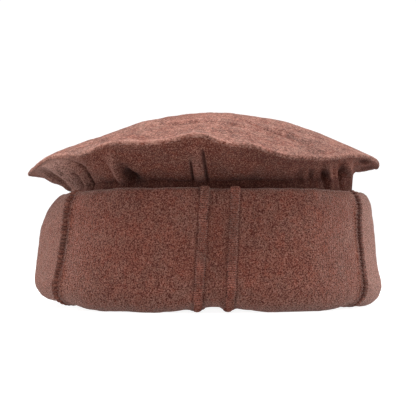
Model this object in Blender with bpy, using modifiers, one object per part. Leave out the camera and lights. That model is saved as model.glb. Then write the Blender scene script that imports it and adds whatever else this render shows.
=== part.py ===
"""A pakol: a soft round wool cap with a low domed crown and a broad turned-up cuff.

The cap stands on the folded foot of its cuff, front towards -Y, in metres. The crown is a top panel and a
side panel that meet at an edge. The side panel runs in from the edge, narrows to a neck and laps down
inside the cuff. The cuff is one band of cloth, folded up at the foot and tucked in at the top. Corded ribs
run over it from its hem inside the cap to the tuck.

Angles are in degrees round the cap, with 0 at the front and 90 at the +X side.
"""

from typing import NamedTuple

import bpy
import numpy as np

COLLECTION = "pakol"

CLOTH = 0.0018
PIECE_GAP = 0.0004
EVERY_COLUMN = 5.0
CROWN_CROWDING = 0.35
NORMAL_STEP = 0.01
RIB_STEP = 1.0
SMOOTH_ANGLE = 50.0

CUFF_WIDTH = 0.2206
CUFF_DEPTH = 0.1980
CUFF_SQUARENESS = 2.45
CUFF_SHIFT = 0.0022
CUFF_HEIGHT = 0.0690
CUFF_FLARE = 0.0055
CUFF_TWIST = -2.5
TOP_FOLD_RADIUS = 0.0042
SHOULDER_LEAN = 0.0110
SHOULDER_START = 0.78
TUCK_DEPTH = 0.0200
PANEL_BULGE = 0.0020
FOOT_THICKNESS = 0.0150
FOOT_OUTER_RADIUS = 0.0102
FOOT_INNER_RADIUS = 0.0028
PUCKER_LIFT = 0.0036

CROWN_WIDTH = 0.2276
CROWN_DEPTH = 0.2190
CROWN_EDGE_HEIGHT = 0.0885
CROWN_RISE = 0.0348
CROWN_SQUARENESS = 2.0
CROWN_FALLOFF = 2.0
EDGE_FALLOFF = 6
EDGE_WAVE = 0.0100
DENT_DEPTH = 0.0020
NECK_PINCH = 0.0025
NECK_RISE = 0.0120
LAP_DEPTH = 0.0190
HEM_OVERLAP = 0.0100
FOLD_DEPTH = 0.0060
FOLD_START = 0.4
NECK_FADE_START = 0.75
NECK_FADE = 0.3

RIB_WIDTH = 0.0050
RIB_HEIGHT = 0.0022

WOOL_COLOUR = (0.17, 0.065, 0.047)
CORD_COLOUR = (0.14, 0.055, 0.041)
WOOL_ROUGHNESS = 0.95


class CuffSection(NamedTuple):
    """The cuff at one angle: shares of its height, flare, top fold, shoulder lean, bulge and twist."""

    angle: float
    height: float
    flare: float
    fold: float
    shoulder: float
    bulge: float
    twist: float


class Pucker(NamedTuple):
    """A place where the cuff's foot is drawn up off the floor, with its lift as a share."""

    angle: float
    half_width: float
    lift: float


class NeckPoint(NamedTuple):
    """The side panel at its neck: shares of the neck's rise and pinch, and where the panel's curve is held.

    The curve is held out by the swell's share of the way to the edge, and down by the drop's share.
    """

    angle: float
    rise: float
    pinch: float
    swell: float
    drop: float


class EdgePoint(NamedTuple):
    """The crown's edge: its rise as a share of the edge wave."""

    angle: float
    rise: float


class Dent(NamedTuple):
    """A soft hollow or swelling of the top panel: shares of its radius, and its depth as a share."""

    angle: float
    radius: float
    size: float
    depth: float


class Fold(NamedTuple):
    """A fold of the side panel at the neck: depth is a share, and lean is how far it turns by the edge."""

    angle: float
    half_width: float
    depth: float
    lean: float


class RibSide(NamedTuple):
    """A point of a rib's rounded section: shares of its half width and of its height."""

    across: float
    height: float


class Rib(NamedTuple):
    """A corded rib and its place."""

    name: str
    angle: float


CUFF_SECTIONS = (
    CuffSection(0, 1.0, 1.0, 1.0, 0.0, -0.6, 1.0),
    CuffSection(28, 1.0, 1.0, 1.0, 0.0, 0.8, 0.8),
    CuffSection(52, 1.0, 1.0, 1.1, 0.1, -0.2, 1.3),
    CuffSection(90, 1.035, 1.0, 1.15, 0.4, -0.3, 0.6),
    CuffSection(130, 1.0, 1.0, 1.1, 0.1, -0.4, 0.4),
    CuffSection(153, 1.0, 1.0, 1.0, 0.0, 0.8, 0.4),
    CuffSection(180, 1.0, 1.0, 1.0, 0.0, -0.6, 0.4),
    CuffSection(207, 1.0, 1.0, 1.0, 0.1, 0.8, 0.4),
    CuffSection(230, 1.0, 0.9, 1.1, 0.45, -0.4, 0.4),
    CuffSection(267, 0.965, 0.7, 1.15, 0.92, 0.3, 0.6),
    CuffSection(308, 0.985, 0.9, 1.0, 0.2, -0.2, 1.1),
    CuffSection(332, 1.0, 1.0, 1.0, 0.0, 0.8, 1.0),
)

PUCKERS = (
    Pucker(0, 20, 0.95),
    Pucker(52, 16, 0.75),
    Pucker(92, 34, 1.2),
    Pucker(130, 16, 0.75),
    Pucker(180, 20, 0.95),
    Pucker(230, 16, 0.75),
    Pucker(270, 52, 2.0),
    Pucker(308, 18, 0.75),
)

NECK_POINTS = (
    NeckPoint(0, 0.35, 1.0, 0.50, 0.60),
    NeckPoint(35, 0.5, 1.0, 0.35, 0.50),
    NeckPoint(60, 0.8, 0.1, 0.10, 0.35),
    NeckPoint(87, 1.0, -0.8, 0.00, 0.30),
    NeckPoint(135, 0.6, 0.8, 0.30, 0.45),
    NeckPoint(180, 0.35, 1.0, 0.50, 0.60),
    NeckPoint(225, 0.35, 0.85, 0.40, 0.50),
    NeckPoint(267, 0.35, 1.2, 0.05, 0.30),
    NeckPoint(300, 0.35, 0.6, 0.20, 0.45),
    NeckPoint(325, 0.35, 1.0, 0.45, 0.60),
)

EDGE_POINTS = (
    EdgePoint(3, 0.13),
    EdgePoint(9, 0.08),
    EdgePoint(18, -0.35),
    EdgePoint(24, -0.49),
    EdgePoint(32, -0.45),
    EdgePoint(41, -0.22),
    EdgePoint(50, -0.02),
    EdgePoint(63, 0.0),
    EdgePoint(78, -0.10),
    EdgePoint(95, 0.0),
    EdgePoint(120, 0.10),
    EdgePoint(150, -0.25),
    EdgePoint(182, 0.25),
    EdgePoint(215, -0.20),
    EdgePoint(245, -0.35),
    EdgePoint(266, -0.58),
    EdgePoint(280, -0.70),
    EdgePoint(290, -0.60),
    EdgePoint(296, -0.34),
    EdgePoint(302, -0.16),
    EdgePoint(310, -0.15),
    EdgePoint(317, -0.17),
    EdgePoint(323, 0.02),
    EdgePoint(328, 0.28),
    EdgePoint(341, 0.27),
    EdgePoint(347, 0.36),
    EdgePoint(354, 0.62),
)

DENTS = (
    Dent(268, 0.60, 0.75, -3.1),
    Dent(286, 0.66, 0.38, -2.6),
    Dent(80, 0.60, 0.50, 0.7),
    Dent(32, 0.62, 0.26, -0.8),
    Dent(12, 0.45, 0.20, 0.4),
    Dent(330, 0.70, 0.28, 0.5),
    Dent(150, 0.60, 0.30, -0.7),
    Dent(205, 0.50, 0.28, 0.4),
)

FOLDS = (
    Fold(353.8, 5, 0.9, -0.6),
    Fold(340, 8, -0.3, 0),
    Fold(331.5, 4.5, -1.3, 3),
    Fold(326.5, 4.5, 0.9, 2),
    Fold(308.5, 4, -0.8, 3),
    Fold(303.5, 5, 0.9, 2),
    Fold(299.5, 3, -0.5, 2.5),
    Fold(296, 4, 0.7, 3),
    Fold(290.5, 4, -0.7, 0),
    Fold(284, 5, 0.5, 0),
    Fold(270, 6, -0.4, 0),
    Fold(38.5, 4, -0.7, 0),
    Fold(43, 4, 0.8, -1),
    Fold(48.5, 5, -0.75, 0),
    Fold(57, 6, 0.6, 2),
    Fold(80, 8, -0.5, 0),
    Fold(112, 9, 0.7, 3),
    Fold(138, 9, -0.7, 0),
    Fold(160, 9, 0.7, -3),
    Fold(186, 9, -0.6, 0),
    Fold(214, 10, 0.8, 4),
    Fold(234, 9, -0.7, 0),
    Fold(252, 8, 0.6, 2),
)

RIB_SIDES = (
    RibSide(-1.0, 0.0),
    RibSide(0.0, 0.0),
    RibSide(1.0, 0.0),
    RibSide(0.85, 0.60),
    RibSide(0.40, 0.95),
    RibSide(-0.40, 0.95),
    RibSide(-0.85, 0.60),
)

RIBS = (
    Rib("rib_front_left", 355),
    Rib("rib_front_right", 5),
    Rib("rib_side_right", 52),
    Rib("rib_rear_right", 130),
    Rib("rib_back_right", 175),
    Rib("rib_back_left", 185),
    Rib("rib_rear_left", 230),
    Rib("rib_side_left", 308),
)

HEM_SHARES = (1.0, 0.80, 0.14)
INNER_CORNER = (0, 45, 90)
OUTER_CORNER = (0, 30, 60, 90)
FACE_SHARES = (0.33, 0.58, 0.82)
TOP_TURNS = (0, 40, 80, 125, 180)
RIB_END_HEIGHT = 0.35
SIDE_RUNS = (0.0, 0.12, 0.28, 0.46, 0.64, 0.82, 1.0)
LAP_SHARES = (0.18, 1.0)
RING_SHARES = (0.20, 0.40, 0.58, 0.74, 0.87, 0.96, 1.0)


def smooth(x):
    """Runs from 0 to 1 with level ends as x goes from 0 to 1."""
    x = np.clip(x, 0.0, 1.0)
    return x * x * (3 - 2 * x)


def bump(x):
    """A rounded bump of height 1 at x = 0 that is exactly 0 from x = 1 outwards."""
    return np.cos(np.clip(np.abs(x), 0.0, 1.0) * np.pi / 2) ** 2


def unit(vectors):
    """Vectors scaled to length 1."""
    return vectors / np.linalg.norm(vectors, axis=-1, keepdims=True)


def turn_between(angles, centre):
    """The signed angle from centre to each angle, the short way round."""
    return (angles - centre + 180.0) % 360.0 - 180.0


def around(rows, column, angles):
    """A smooth closed curve through one column of a table, read at these angles."""
    places = np.array([row.angle for row in rows], float)
    places = np.concatenate([places - 360.0, places, places + 360.0])
    values = np.tile([getattr(row, column) for row in rows], 3)
    slopes = np.gradient(values, places)
    angles = np.asarray(angles, float) % 360.0
    low = np.searchsorted(places, angles, side="right") - 1
    span = places[low + 1] - places[low]
    t = (angles - places[low]) / span
    start = (2 * t**3 - 3 * t**2 + 1) * values[low] + (t**3 - 2 * t**2 + t) * span * slopes[low]
    end = (3 * t**2 - 2 * t**3) * values[low + 1] + (t**3 - t**2) * span * slopes[low + 1]
    return start + end


def cuff_columns():
    """The angles of the sections that the cuff is lofted through."""
    return np.arange(0.0, 360.0, EVERY_COLUMN)


def crown_columns():
    """The angles of the crown's sections, which crowd towards the front, where its folds are narrow."""
    even = cuff_columns()
    return even - CROWN_CROWDING * np.degrees(np.sin(np.radians(even)))


def oval(angles, half_width, half_depth, squareness):
    """Points of a squared oval in plan."""
    turn = np.radians(angles)
    across = np.abs(np.sin(turn) / half_width) ** squareness
    along = np.abs(np.cos(turn) / half_depth) ** squareness
    radius = (across + along) ** (-1 / squareness)
    return np.stack([radius * np.sin(turn), -radius * np.cos(turn)], axis=-1)


def oval_normal(angles, half_width, half_depth, squareness):
    """Outward unit normals of that oval, from two points close to either side."""
    ahead = oval(angles + NORMAL_STEP, half_width, half_depth, squareness)
    behind = oval(angles - NORMAL_STEP, half_width, half_depth, squareness)
    tangent = ahead - behind
    return unit(np.stack([tangent[..., 1], -tangent[..., 0]], axis=-1))


def fold_radius(angles):
    """The radius of the cuff's top fold."""
    return TOP_FOLD_RADIUS * around(CUFF_SECTIONS, "fold", angles)


def cuff_top(angles):
    """The height of the cuff's top fold."""
    return CUFF_HEIGHT * around(CUFF_SECTIONS, "height", angles)


def face_inset(angles, share):
    """How far in the cuff's outer face lies at a share of its height, without its bulge."""
    flare = CUFF_FLARE * around(CUFF_SECTIONS, "flare", angles)
    lean = SHOULDER_LEAN * around(CUFF_SECTIONS, "shoulder", angles)
    return flare * smooth(share) + lean * smooth((share - SHOULDER_START) / (1 - SHOULDER_START))


def tuck_inset(angles):
    """How far the cuff's tucked layer lies in from the cuff's widest line."""
    return face_inset(angles, 1.0) + 2 * fold_radius(angles)


def foot_lift(angles):
    """How far the foot of the cuff is drawn up off the floor."""
    total = sum(p.lift * bump(turn_between(angles, p.angle) / p.half_width) for p in PUCKERS)
    return PUCKER_LIFT * total


def cuff_sections(angles):
    """The cuff's band in section: how far in from its widest line, and how high, section by section.

    Each section runs from the hem inside the cap down to the foot, up the outer face, over the top fold
    and down the tuck.
    """
    one = np.ones_like(angles)
    radius = fold_radius(angles)
    top = cuff_top(angles)
    bulge = PANEL_BULGE * around(CUFF_SECTIONS, "bulge", angles)
    hem_height = top - LAP_DEPTH + HEM_OVERLAP
    hem_inset = tuck_inset(angles) + 2 * PIECE_GAP + 2 * CLOTH
    points = [(hem_inset, share * hem_height) for share in HEM_SHARES[:-1]]
    points.append((FOOT_THICKNESS * one, HEM_SHARES[-1] * hem_height))
    for turn in np.radians(INNER_CORNER):
        inset = FOOT_THICKNESS - FOOT_INNER_RADIUS * (1 - np.cos(turn))
        points.append((inset * one, FOOT_INNER_RADIUS * (1 - np.sin(turn)) * one))
    for turn in np.radians(OUTER_CORNER):
        inset = FOOT_OUTER_RADIUS * (1 - np.sin(turn))
        points.append((inset * one, FOOT_OUTER_RADIUS * (1 - np.cos(turn)) * one))
    for share in FACE_SHARES:
        inset = face_inset(angles, share) - bulge * bump(2 * share - 1)
        points.append((inset, share * (top - radius)))
    for turn in np.radians(TOP_TURNS):
        height = top - radius * (1 - np.sin(turn))
        inset = face_inset(angles, height / top) + radius * (1 - np.cos(turn))
        points.append((inset, height))
    points.append((tuck_inset(angles), top - TUCK_DEPTH))
    inset = np.stack([point[0] for point in points], axis=1)
    height = np.stack([point[1] for point in points], axis=1)
    height += foot_lift(angles)[:, None] * (1 - smooth(2 * height / CUFF_HEIGHT))
    return inset, height


def cuff_points(angles, inset, height):
    """Points of the cap this far in from the cuff's widest line, on sections that twist towards the foot."""
    twist = CUFF_TWIST * around(CUFF_SECTIONS, "twist", angles)[:, None]
    turned = angles[:, None] + twist * (1 - height / CUFF_HEIGHT)
    shape = (CUFF_WIDTH / 2, CUFF_DEPTH / 2, CUFF_SQUARENESS)
    place = oval(turned, *shape) - inset[..., None] * oval_normal(turned, *shape)
    return np.stack([place[..., 0] + CUFF_SHIFT, place[..., 1], height], axis=-1)


def cuff_surface(angles):
    """The side of the cuff's cloth that shows."""
    return cuff_points(angles, *cuff_sections(angles))


def crown_seam(angles):
    """The middle of the seam between the crown's top and side panels."""
    place = oval(angles, CROWN_WIDTH / 2, CROWN_DEPTH / 2, CROWN_SQUARENESS)
    height = CROWN_EDGE_HEIGHT + EDGE_WAVE * around(EDGE_POINTS, "rise", angles)
    return np.concatenate([place, height[:, None]], axis=-1)


def outward_normals(surface):
    """Unit normals of a surface of sections that go round the cap, pointing out of its showing side."""
    along = np.gradient(surface, axis=1)
    across = np.roll(surface, -1, axis=0) - np.roll(surface, 1, axis=0)
    return unit(np.cross(along, across))


def fold_offset(angles, runs):
    """How far the side panel's folds stand out, with run from 0 at the crown's edge to 1 at the neck."""
    total = np.zeros((len(angles), len(runs)))
    for fold in FOLDS:
        place = fold.angle + fold.lean * (1 - runs)
        across = turn_between(angles[:, None], place[None, :])
        total += fold.depth * bump(across / fold.half_width)
    fade = 1 - NECK_FADE * smooth((runs - NECK_FADE_START) / (1 - NECK_FADE_START))
    return FOLD_DEPTH * total * smooth(runs / FOLD_START) * fade


def side_surface(angles):
    """The outer side of the crown's side panel, from the edge in to the neck and down inside the cuff."""
    lap = (tuck_inset(angles) + PIECE_GAP)[:, None]
    top = cuff_top(angles)[:, None]
    edge = crown_seam(angles) - [0, 0, CLOTH + PIECE_GAP / 2]
    pinch = NECK_PINCH * around(NECK_POINTS, "pinch", angles)[:, None]
    rise = NECK_RISE * around(NECK_POINTS, "rise", angles)[:, None]
    neck = cuff_points(angles, lap + pinch, top + rise)[:, 0]
    hold = neck + around(NECK_POINTS, "swell", angles)[:, None] * (edge - neck)
    hold[:, 2] = edge[:, 2] - around(NECK_POINTS, "drop", angles) * (edge[:, 2] - neck[:, 2])
    runs = np.array(SIDE_RUNS)
    weights = np.stack([(1 - runs) ** 2, 2 * runs * (1 - runs), runs**2])
    panel = sum(w[None, :, None] * p[:, None, :] for w, p in zip(weights, (edge, hold, neck)))
    panel += fold_offset(angles, runs)[..., None] * outward_normals(panel)
    laps = [cuff_points(angles, lap, top - share * LAP_DEPTH) for share in LAP_SHARES]
    return np.concatenate([panel, *laps], axis=1)


def top_surface(angles):
    """The outer side of the crown's top panel, from near its middle out to its edge."""
    rings = np.array(RING_SHARES)
    edge = crown_seam(angles) + [0, 0, CLOTH + PIECE_GAP / 2]
    rows = edge[:, None, :] * rings[None, :, None]
    near_edge = rings**EDGE_FALLOFF
    wave = (edge[:, 2] - CROWN_EDGE_HEIGHT)[:, None]
    rows[..., 2] = CROWN_EDGE_HEIGHT + CROWN_RISE * (1 - rings**CROWN_FALLOFF) + wave * near_edge
    for dent in DENTS:
        place = oval(np.array(dent.angle), CROWN_WIDTH / 2, CROWN_DEPTH / 2, CROWN_SQUARENESS)
        away = np.linalg.norm(rows[..., :2] - dent.radius * place, axis=-1)
        shape = bump(away / (dent.size * CROWN_WIDTH / 2))
        rows[..., 2] += DENT_DEPTH * dent.depth * shape * (1 - near_edge)
    return rows


def rib_surface(angle):
    """The sections of a cord laid over the cuff, along the cuff's own section at this angle."""
    around_rib = np.array([angle - RIB_STEP, angle, angle + RIB_STEP])
    path = cuff_surface(around_rib)[:, :-2]
    sideways = unit(path[2] - path[0])
    along = np.gradient(path[1], axis=0)
    outward = unit(np.cross(sideways, along))
    share = np.ones(len(outward))
    share[-1] = RIB_END_HEIGHT
    sections = []
    for side in RIB_SIDES:
        place = path[1] + side.across * RIB_WIDTH / 2 * sideways
        lift = PIECE_GAP + side.height * RIB_HEIGHT * share
        sections.append(place + lift[:, None] * outward)
    return np.stack(sections, axis=1)


def new_object(name, points, faces, material):
    """A smooth-shaded mesh object of these points and faces."""
    mesh = bpy.data.meshes.new(name)
    mesh.from_pydata(points.tolist(), [], faces)
    mesh.materials.append(material)
    mesh.shade_smooth()
    mesh.set_sharp_from_angle(angle=np.radians(SMOOTH_ANGLE))
    piece = bpy.data.objects.new(name, mesh)
    bpy.data.collections[COLLECTION].objects.link(piece)
    return piece


def thicken(piece):
    """Gives a sheet the cloth's thickness, behind its showing side."""
    wall = piece.modifiers.new("cloth", "SOLIDIFY")
    wall.thickness = CLOTH
    wall.offset = -1.0
    wall.use_even_offset = True
    wall.use_quality_normals = True


def ring_faces(sections, points):
    """Four-sided faces between neighbouring sections of a closed ring."""
    faces = []
    for i in range(sections):
        after = (i + 1) % sections
        for j in range(points - 1):
            faces.append((i * points + j, after * points + j, after * points + j + 1, i * points + j + 1))
    return faces


def build_cuff(material):
    """The cuff's folded band, a closed ring of cloth."""
    surface = cuff_surface(cuff_columns())
    thicken(new_object("cuff", surface.reshape(-1, 3), ring_faces(*surface.shape[:2]), material))


def build_crown_side(material):
    """The crown's side panel, a closed ring of cloth."""
    surface = side_surface(crown_columns())[:, ::-1]
    thicken(new_object("crown_side", surface.reshape(-1, 3), ring_faces(*surface.shape[:2]), material))


def build_crown_top(material):
    """The top panel, with its middle closed by a fan of triangles."""
    surface = top_surface(crown_columns())[:, ::-1]
    sections, points = surface.shape[:2]
    faces = ring_faces(sections, points)
    middle = sections * points
    last = points - 1
    faces += [(i * points + last, (i + 1) % sections * points + last, middle) for i in range(sections)]
    peak = [[0.0, 0.0, CROWN_EDGE_HEIGHT + CROWN_RISE]]
    thicken(new_object("crown_top", np.concatenate([surface.reshape(-1, 3), peak]), faces, material))


def build_rib(rib, material):
    """A closed cord with a flat face at each end."""
    surface = rib_surface(rib.angle)
    sections, sides = surface.shape[:2]
    faces = []
    for i in range(sections - 1):
        for j in range(sides):
            k = (j + 1) % sides
            low, high = i * sides, (i + 1) * sides
            faces.append((low + j, high + j, high + k, low + k))
    faces.append(tuple(range(sides)))
    faces.append(tuple(reversed(range((sections - 1) * sides, sections * sides))))
    new_object(rib.name, surface.reshape(-1, 3), faces, material)


def wool_material(name, colour):
    """A dull woollen finish."""
    material = bpy.data.materials.new(name)
    material.use_nodes = True
    shader = material.node_tree.nodes["Principled BSDF"]
    shader.inputs["Base Color"].default_value = (*colour, 1.0)
    shader.inputs["Roughness"].default_value = WOOL_ROUGHNESS
    return material


def main():
    """Clears the scene and builds the cap."""
    for old in list(bpy.data.objects):
        bpy.data.objects.remove(old)
    bpy.context.scene.collection.children.link(bpy.data.collections.new(COLLECTION))
    build_cuff(wool_material("cuff_wool", WOOL_COLOUR))
    build_crown_side(wool_material("side_wool", WOOL_COLOUR))
    build_crown_top(wool_material("top_wool", WOOL_COLOUR))
    for rib in RIBS:
        build_rib(rib, wool_material(f"{rib.name}_cord", CORD_COLOUR))


main()
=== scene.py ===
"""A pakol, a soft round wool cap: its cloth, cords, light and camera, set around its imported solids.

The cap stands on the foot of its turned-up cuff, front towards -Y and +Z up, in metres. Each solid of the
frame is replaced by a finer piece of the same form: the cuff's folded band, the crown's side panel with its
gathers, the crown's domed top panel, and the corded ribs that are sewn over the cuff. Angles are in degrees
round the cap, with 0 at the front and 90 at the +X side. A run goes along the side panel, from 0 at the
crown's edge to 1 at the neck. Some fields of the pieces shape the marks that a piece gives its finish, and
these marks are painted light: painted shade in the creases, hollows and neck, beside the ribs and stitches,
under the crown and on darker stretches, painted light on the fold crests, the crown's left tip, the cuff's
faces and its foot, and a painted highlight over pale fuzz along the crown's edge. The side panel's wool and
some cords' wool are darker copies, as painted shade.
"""

from __future__ import annotations

import logging
import math
from collections.abc import Mapping
from dataclasses import dataclass, field
from enum import Enum
from typing import NamedTuple

import bpy
import numpy as np
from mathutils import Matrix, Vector


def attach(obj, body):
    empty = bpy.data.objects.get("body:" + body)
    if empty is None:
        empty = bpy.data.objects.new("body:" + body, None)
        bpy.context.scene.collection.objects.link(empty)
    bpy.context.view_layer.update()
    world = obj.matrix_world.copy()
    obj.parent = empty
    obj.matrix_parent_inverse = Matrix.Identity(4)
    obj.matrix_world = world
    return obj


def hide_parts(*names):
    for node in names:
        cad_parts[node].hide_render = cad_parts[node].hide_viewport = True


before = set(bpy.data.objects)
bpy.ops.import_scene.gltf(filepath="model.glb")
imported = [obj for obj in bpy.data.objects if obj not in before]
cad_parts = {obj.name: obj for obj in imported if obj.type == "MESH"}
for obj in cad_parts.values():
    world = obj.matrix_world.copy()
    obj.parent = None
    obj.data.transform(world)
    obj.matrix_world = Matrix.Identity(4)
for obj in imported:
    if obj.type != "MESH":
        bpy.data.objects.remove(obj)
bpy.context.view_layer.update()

log = logging.getLogger("pakol")

BODY = "root"
COLLECTION = "pakol_cloth"

BACK = 180.0
NORMAL_STEP = 0.01
FIRST_CORD_SEED = 100

Array = np.ndarray
Triple = tuple[float, float, float]
Rgba = tuple[float, float, float, float]
Span = tuple[float, float]


class CuffSection(NamedTuple):
    """The cuff at one angle: shares of its height, flare, top fold, shoulder lean, bulge and twist."""

    angle: float
    height: float
    flare: float
    fold: float
    shoulder: float
    bulge: float
    twist: float


class Pucker(NamedTuple):
    """A place where the cuff's foot is drawn up off the floor, with its lift as a share."""

    angle: float
    half_width: float
    lift: float


class NeckPoint(NamedTuple):
    """The side panel at its neck: shares of its rise and pinch, and how its curve is held out and down."""

    angle: float
    rise: float
    pinch: float
    swell: float
    drop: float


class EdgePoint(NamedTuple):
    """The crown's edge: its rise as a share of the edge wave."""

    angle: float
    rise: float


class Dent(NamedTuple):
    """A soft hollow or swelling of the top panel: place and size are shares of its radius."""

    angle: float
    radius: float
    size: float
    depth: float


class Fold(NamedTuple):
    """A fold of the side panel: its angle at the neck, its depth as a share, and how it turns by the edge.

    Lean turns it evenly from neck to edge, hook turns it quickly close to the edge, and rise is the run over
    which it grows from the edge.
    """

    angle: float
    half_width: float
    depth: float
    lean: float
    hook: float = 0.0
    rise: float = 0.4


class Crease(NamedTuple):
    """A fine crease or ridge of the side panel, from one run to another, that turns as a fold does."""

    angle: float
    half_width: float
    depth: float
    lean: float
    start: float
    stop: float
    hook: float = 0.0


class Wrinkle(NamedTuple):
    """A long soft wrinkle of the top panel: its middle, heading, half length, half width and depth."""

    across: float
    along: float
    heading: float
    half_length: float
    half_width: float
    depth: float


class Tone(NamedTuple):
    """Painted shade and painted light on a stretch of cloth: its ends, how soft each end is, and its shares.
    """

    start: float
    stop: float
    start_soft: float
    stop_soft: float
    dark: float
    painted_light: float


class Lumps(NamedTuple):
    """A layer of soft unevenness: its depth, its cells round the cap and along a section, and its seed.

    Reach is the share of a section over which it grows from nothing, 0 where it is whole from the start.
    """

    depth: float
    cells: tuple[int, int]
    seed: int
    reach: float = 0.0


class CordWool(Enum):
    """Which wool a rib's cord is whipped with: the plain, lit one, or a copy of it darkened as painted
    shade, by half or fully.
    """

    PLAIN = "plain"
    PAINTED_SHADE = "dark"
    PAINTED_HALF_SHADE = "soft"


class RibPlace(NamedTuple):
    """A corded rib: its node, angle and wool, and shares of the cord's stitch and height.

    Foot is the share of its height that is left on the floor. Its wool is the plain, lit cord wool or a copy
    of it darkened as painted shade. Shade is how strong the painted shade is on the side where the angles
    are lower.
    """

    node: str
    angle: float
    wool: CordWool
    stitch: float
    height: float
    foot: float
    shade: float = 0.0


CUFF_SECTIONS = (
    CuffSection(0, 1.0, 1.0, 1.0, 0.0, -0.6, 1.0),
    CuffSection(28, 1.0, 1.0, 1.0, 0.0, 0.8, 0.8),
    CuffSection(52, 1.0, 1.0, 1.1, 0.1, -0.2, 1.3),
    CuffSection(90, 1.035, 1.0, 1.15, 0.4, -0.3, 0.6),
    CuffSection(130, 1.0, 1.0, 1.1, 0.1, -0.4, 0.4),
    CuffSection(153, 1.0, 1.0, 1.0, 0.0, 0.8, 0.4),
    CuffSection(180, 1.0, 1.0, 1.0, 0.0, -0.6, 0.4),
    CuffSection(207, 1.0, 1.0, 1.0, 0.1, 0.8, 0.4),
    CuffSection(230, 1.0, 0.9, 1.1, 0.45, -0.4, 0.4),
    CuffSection(267, 0.965, 0.7, 1.15, 0.92, 0.3, 0.6),
    CuffSection(308, 0.985, 0.9, 1.0, 0.2, -0.2, 1.1),
    CuffSection(332, 1.0, 1.0, 1.0, 0.0, 0.8, 1.0),
)

PUCKERS = (
    Pucker(0, 20, 0.95),
    Pucker(52, 16, 0.75),
    Pucker(92, 34, 1.2),
    Pucker(130, 16, 0.75),
    Pucker(180, 20, 0.95),
    Pucker(230, 16, 0.75),
    Pucker(270, 52, 2.0),
    Pucker(308, 18, 0.75),
)

NECK_POINTS = (
    NeckPoint(0, 0.35, 1.0, 0.50, 0.60),
    NeckPoint(35, 0.5, 1.0, 0.35, 0.50),
    NeckPoint(60, 0.8, 0.1, 0.10, 0.35),
    NeckPoint(87, 1.0, -0.8, 0.00, 0.30),
    NeckPoint(135, 0.6, 0.8, 0.30, 0.45),
    NeckPoint(180, 0.35, 1.0, 0.50, 0.60),
    NeckPoint(225, 0.35, 0.85, 0.40, 0.50),
    NeckPoint(267, 0.35, 1.2, 0.05, 0.30),
    NeckPoint(300, 0.35, 0.6, 0.20, 0.45),
    NeckPoint(325, 0.35, 1.0, 0.45, 0.60),
)

EDGE_POINTS = (
    EdgePoint(3, 0.13),
    EdgePoint(9, 0.08),
    EdgePoint(18, -0.35),
    EdgePoint(24, -0.49),
    EdgePoint(32, -0.45),
    EdgePoint(41, -0.22),
    EdgePoint(50, -0.02),
    EdgePoint(63, 0.0),
    EdgePoint(78, -0.10),
    EdgePoint(95, 0.0),
    EdgePoint(120, 0.10),
    EdgePoint(150, -0.25),
    EdgePoint(182, 0.25),
    EdgePoint(215, -0.20),
    EdgePoint(245, -0.35),
    EdgePoint(266, -0.58),
    EdgePoint(280, -0.70),
    EdgePoint(290, -0.60),
    EdgePoint(296, -0.34),
    EdgePoint(302, -0.16),
    EdgePoint(310, -0.15),
    EdgePoint(317, -0.17),
    EdgePoint(323, 0.02),
    EdgePoint(328, 0.28),
    EdgePoint(341, 0.27),
    EdgePoint(347, 0.36),
    EdgePoint(354, 0.62),
)

DENTS = (
    Dent(268, 0.60, 0.75, -3.1),
    Dent(286, 0.66, 0.38, -2.6),
    Dent(80, 0.60, 0.50, 0.7),
    Dent(32, 0.62, 0.26, -0.8),
    Dent(12, 0.45, 0.20, 0.4),
    Dent(330, 0.70, 0.28, 0.5),
    Dent(150, 0.60, 0.30, -0.7),
    Dent(205, 0.50, 0.28, 0.4),
)

FOLDS = (
    Fold(353.6, 4.0, 0.40, -0.5),
    Fold(340, 8, -0.2, 0),
    Fold(326.2, 3.2, 0.66, 0.5),
    Fold(309.4, 2.8, 0.52, 4.2, -12.0, 0.14),
    Fold(303.2, 3.2, 0.58, 3.0, -12.0, 0.14),
    Fold(295.5, 3.0, 0.30, 1.0),
    Fold(290.5, 4, -0.6, 0),
    Fold(284, 5, 0.5, 0),
    Fold(270, 6, -0.4, 0),
    Fold(41.3, 2.6, -0.32, -8.0, 0.0, 1.0),
    Fold(44.2, 2.6, 0.40, -9.0, 0.0, 0.6),
    Fold(52.3, 3.3, -0.42, -11.0, 0.0, 1.0),
    Fold(59.5, 4.5, 0.54, -14.0, 0.0, 0.6),
    Fold(80, 8, -0.5, 0),
    Fold(112, 9, 0.7, 3),
    Fold(138, 9, -0.7, 0),
    Fold(160, 9, 0.7, -3),
    Fold(186, 9, -0.6, 0),
    Fold(214, 10, 0.8, 4),
    Fold(234, 9, -0.7, 0),
    Fold(252, 8, 0.6, 2),
)

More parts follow.
